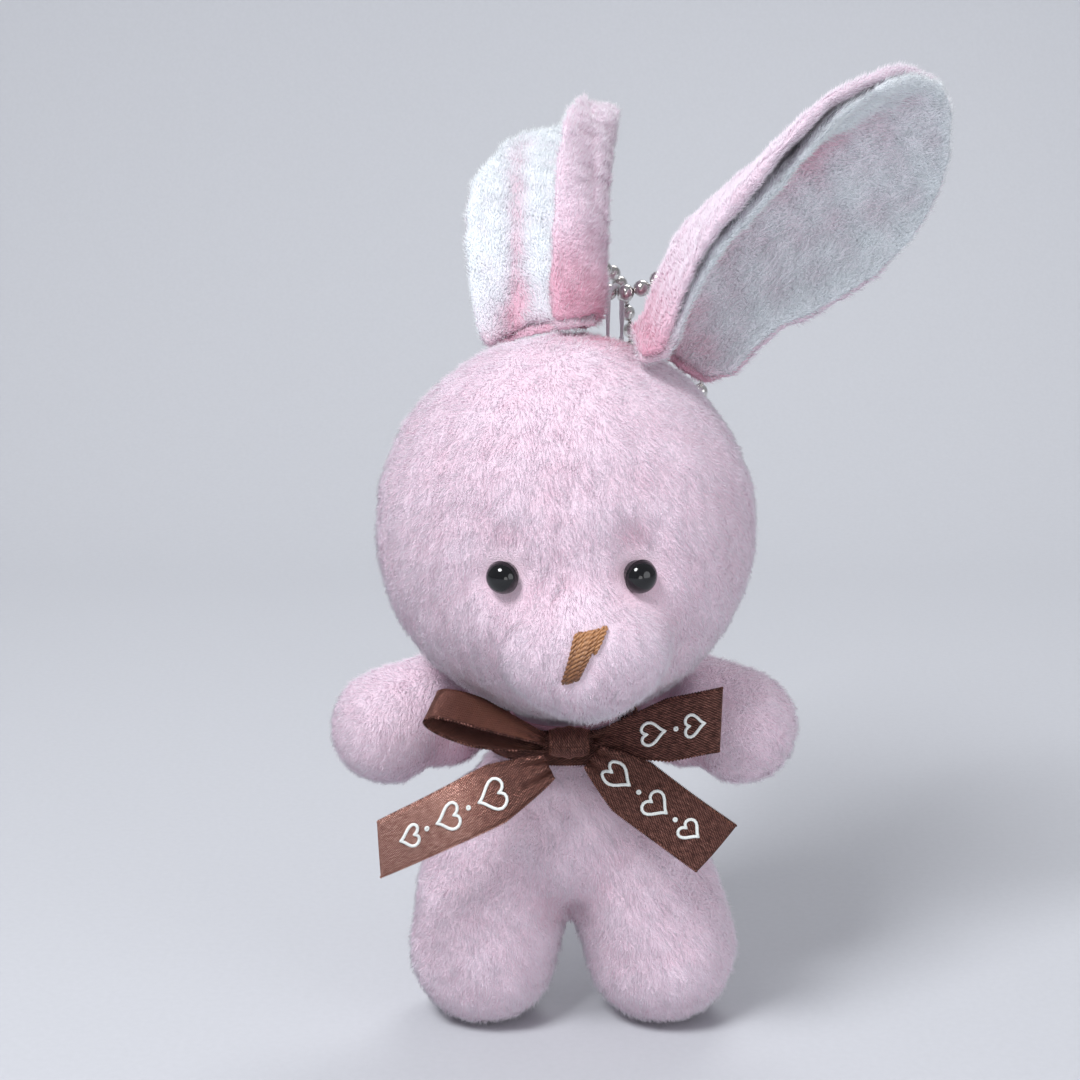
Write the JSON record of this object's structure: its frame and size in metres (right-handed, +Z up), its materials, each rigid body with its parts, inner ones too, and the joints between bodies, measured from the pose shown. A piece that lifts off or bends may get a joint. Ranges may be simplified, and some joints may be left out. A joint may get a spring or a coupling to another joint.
{
  "type": "plush keychain",
  "caption": "Small pink plush rabbit with long ears, satin ribbon bow, stitched nose and a ball chain for hanging it from a bag or keys.",
  "frame": {"origin": "on the floor, at the middle of the left foot's sole", "axes": "+Z up, the face looks along -Y, and the left side as seen from the front is at -X"},
  "size_m": [0.0993, 0.0816, 0.156],
  "materials": {
    "pink_plush": "short pile plush",
    "white_plush": "short pile plush",
    "polyester_fibre": "loose fibre",
    "black_plastic": "glossy",
    "nylon_washer": "matt",
    "brown_thread": "satin stitch",
    "brown_satin": "satin ribbon",
    "white_cord": "twisted cord",
    "plated_steel": "plated",
    "pink_thread": "thread"
  },
  "bodies": {
    "torso": {"body_cover": "pink_plush", "body_stuffing": "polyester_fibre", "neck_ribbon": "brown_satin", "bow_knot": "brown_satin"},
    "neck": {"neck_seam_thread": "pink_thread"},
    "head": {"head_cover": "pink_plush", "head_stuffing": "polyester_fibre", "eye_left": "black_plastic", "eye_right": "black_plastic", "eye_washer_left": "nylon_washer", "eye_washer_right": "nylon_washer", "nose_embroidery": "brown_thread"},
    "arm_left": {"arm_cover_left": "pink_plush", "arm_stuffing_left": "polyester_fibre"},
    "arm_right": {"arm_cover_right": "pink_plush", "arm_stuffing_right": "polyester_fibre"},
    "ear_left": {"ear_back_left": "pink_plush", "ear_lining_left": "white_plush"},
    "ear_right": {"ear_back_right": "pink_plush", "ear_lining_right": "white_plush"},
    "bow_left": {"bow_loop_left": "brown_satin"},
    "bow_right": {"bow_loop_right": "brown_satin"},
    "tail_left": {"ribbon_tail_left": "brown_satin"},
    "tail_right": {"ribbon_tail_right": "brown_satin"},
    "cord": {"hanging_loop": "white_cord"},
    "chain_1": {"chain_ball_a01": "plated_steel", "chain_ball_b01": "plated_steel", "chain_ball_a02": "plated_steel", "chain_ball_b02": "plated_steel", "chain_ball_a03": "plated_steel", "chain_ball_b03": "plated_steel"},
    "chain_2": {"chain_ball_a04": "plated_steel", "chain_ball_b04": "plated_steel", "chain_ball_a05": "plated_steel", "chain_ball_b05": "plated_steel", "chain_ball_a06": "plated_steel", "chain_ball_b06": "plated_steel"},
    "chain_3": {"chain_ball_a07": "plated_steel", "chain_ball_b07": "plated_steel", "chain_ball_a08": "plated_steel", "chain_ball_b08": "plated_steel", "chain_ball_a09": "plated_steel", "chain_ball_b09": "plated_steel"},
    "chain_4": {"chain_ball_a10": "plated_steel", "chain_ball_b10": "plated_steel", "chain_ball_a11": "plated_steel", "chain_ball_b11": "plated_steel", "chain_ball_a12": "plated_steel", "chain_ball_b12": "plated_steel"},
    "chain_5": {"chain_ball_a13": "plated_steel", "chain_ball_b13": "plated_steel", "chain_ball_a14": "plated_steel", "chain_ball_b14": "plated_steel"},
    "connector_end": {"chain_ball_a15": "plated_steel", "chain_ball_b15": "plated_steel"},
    "connector": {"chain_connector": "plated_steel"}
  },
  "joints": [
    {"name": "head_turn", "type": "hinge", "parent": "torso", "child": "neck", "pos_m": [0.0132, 0.001, 0.05235], "axis": [0, 0, 1], "range_deg": [-25, 25]},
    {"name": "head_nod", "type": "hinge", "parent": "neck", "child": "head", "pos_m": [0.0132, 0.001, 0.05235], "axis": [1, 0, 0], "range_deg": [-5, 2]},
    {"name": "arm_left_swing", "type": "hinge", "parent": "torso", "child": "arm_left", "pos_m": [-0.0038, 0.0055, 0.048], "axis": [0, 0, 1], "range_deg": [-15, 15]},
    {"name": "arm_right_swing", "type": "hinge", "parent": "torso", "child": "arm_right", "pos_m": [0.0302, 0.0055, 0.048], "axis": [0, 0, -1], "range_deg": [-15, 15]},
    {"name": "ear_left_flop", "type": "hinge", "parent": "head", "child": "ear_left", "pos_m": [0.0181, 0.0004, 0.1162], "axis": [0.9941, -0.108, 0.0027], "range_deg": [-2.5, 8]},
    {"name": "ear_right_flop", "type": "hinge", "parent": "head", "child": "ear_right", "pos_m": [0.0254, 0.0044, 0.1156], "axis": [0.5161, 0.5994, -0.6119], "range_deg": [-6, 3]},
    {"name": "bow_left_flex", "type": "hinge", "parent": "torso", "child": "bow_left", "pos_m": [0.0098, -0.0144, 0.052], "axis": [0, 1, 0], "range_deg": [-2, 1]},
    {"name": "bow_right_flex", "type": "hinge", "parent": "torso", "child": "bow_right", "pos_m": [0.0178, -0.0144, 0.052], "axis": [0, -1, 0], "range_deg": [-2, 1]},
    {"name": "tail_left_lift", "type": "hinge", "parent": "torso", "child": "tail_left", "pos_m": [0.0106, -0.018, 0.0496], "axis": [-0.3853, 0, 0.9228], "range_deg": [0, 60]},
    {"name": "tail_right_lift", "type": "hinge", "parent": "torso", "child": "tail_right", "pos_m": [0.0174, -0.0172, 0.051], "axis": [-0.6222, 0, -0.7828], "range_deg": [0, 60]},
    {"name": "cord_tilt", "type": "hinge", "parent": "head", "child": "cord", "pos_m": [0.0214, 0.0124, 0.10863], "axis": [0.8988, -0.4384, 0], "range_deg": [-6, 6]},
    {"name": "chain_swing", "type": "hinge", "parent": "cord", "child": "chain_1", "pos_m": [0.0214, 0.0124, 0.12], "axis": [0.8988, -0.4384, 0], "range_deg": [-4, 30]},
    {"name": "chain_bend_1", "type": "hinge", "parent": "chain_1", "child": "chain_2", "pos_m": [0.02321, 0.01612, 0.12216], "axis": [0.8988, -0.4384, 0], "range_deg": [-3, 20]},
    {"name": "chain_bend_2", "type": "hinge", "parent": "chain_2", "child": "chain_3", "pos_m": [0.02748, 0.02487, 0.12129], "axis": [0.8988, -0.4384, 0], "range_deg": [-3, 20]},
    {"name": "chain_bend_3", "type": "hinge", "parent": "chain_3", "child": "chain_4", "pos_m": [0.03026, 0.03056, 0.11381], "axis": [0.8988, -0.4384, 0], "range_deg": [-3, 20]},
    {"name": "chain_bend_4", "type": "hinge", "parent": "chain_4", "child": "chain_5", "pos_m": [0.03095, 0.03199, 0.1039], "axis": [0.8988, -0.4384, 0], "range_deg": [-3, 20]},
    {"name": "chain_bend_5", "type": "hinge", "parent": "chain_5", "child": "connector_end", "pos_m": [0.03133, 0.03277, 0.0977], "axis": [0.8988, -0.4384, 0], "range_deg": [-12, 20]},
    {"name": "connector_spin", "type": "hinge", "parent": "connector_end", "child": "connector", "pos_m": [0.03144, 0.03299, 0.09594], "axis": [0.8988, -0.4384, 0], "continuous": true}
  ]
}
